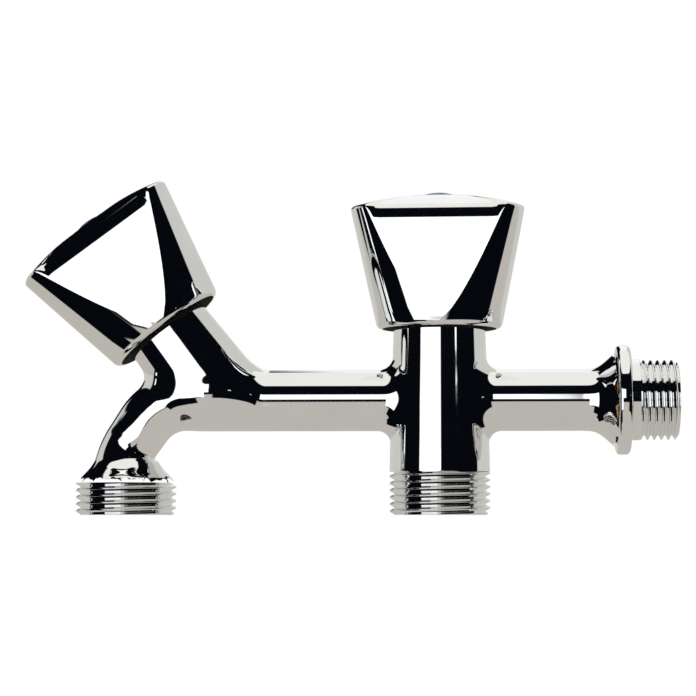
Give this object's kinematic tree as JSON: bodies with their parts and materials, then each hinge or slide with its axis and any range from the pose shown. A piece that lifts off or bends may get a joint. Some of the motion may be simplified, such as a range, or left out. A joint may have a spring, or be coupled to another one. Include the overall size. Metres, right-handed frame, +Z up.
{
  "type": "double outlet tap",
  "caption": "Chrome-plated wall tap with two screw-down valves: one upright over a straight hose outlet, one leaning over a bent arm with a second hose outlet.",
  "frame": {"origin": "where the tube's axis passes the wall side of the inlet flange, at the root of the inlet thread", "axes": "+X into the wall along the inlet thread, +Z up, along the centre handle's spindle; the hose outlets point to -Z and end at Z = -30 mm, the plane that the tap stands on"},
  "size_m": [0.1707, 0.0423, 0.0878],
  "materials": {
    "chrome": "polished chrome plating on brass",
    "raw_brass": "turned brass, unplated",
    "rubber": "smooth black rubber",
    "steel": "zinc-plated steel",
    "slip_plastic": "natural slip plastic",
    "index_plastic": "glossy blue plastic"
  },
  "bodies": {
    "casting": {"valve_body": "chrome", "centre_headwork_body": "raw_brass", "centre_headwork_seal": "rubber", "centre_thrust_ring": "slip_plastic", "side_headwork_body": "raw_brass", "side_headwork_seal": "rubber", "side_thrust_ring": "slip_plastic"},
    "centre_turning_set": {"centre_handle": "chrome", "centre_handle_screw": "steel", "centre_index_cap": "index_plastic", "centre_spindle": "raw_brass", "centre_spindle_o_rings": "rubber", "centre_spindle_clip": "steel"},
    "centre_sliding_set": {"centre_jumper": "raw_brass", "centre_valve_washer": "rubber", "centre_washer_nut": "raw_brass"},
    "side_turning_set": {"side_handle": "chrome", "side_handle_screw": "steel", "side_index_cap": "index_plastic", "side_spindle": "raw_brass", "side_spindle_o_rings": "rubber", "side_spindle_clip": "steel"},
    "side_sliding_set": {"side_jumper": "raw_brass", "side_valve_washer": "rubber", "side_washer_nut": "raw_brass"}
  },
  "joints": [
    {"name": "centre_handle_turn", "type": "hinge", "parent": "casting", "child": "centre_turning_set", "pos_m": [-0.0497, 0, 0], "axis": [0, 0, 1], "range_deg": [0, 810]},
    {"name": "centre_jumper_slide", "type": "slide", "parent": "casting", "child": "centre_sliding_set", "axis": [0, 0, 1], "range_m": [0, 0.0045]},
    {"name": "side_handle_turn", "type": "hinge", "parent": "casting", "child": "side_turning_set", "pos_m": [-0.1074, 0, 0], "axis": [-0.6018, 0, 0.7986], "range_deg": [0, 810]},
    {"name": "side_jumper_slide", "type": "slide", "parent": "casting", "child": "side_sliding_set", "axis": [-0.6018, 0, 0.7986], "range_m": [0, 0.0045]}
  ],
  "couplings": [
    {"joint": "centre_jumper_slide", "follows": "centre_handle_turn", "m_per_rad": 0.0003183},
    {"joint": "side_jumper_slide", "follows": "side_handle_turn", "m_per_rad": 0.0003183}
  ]
}
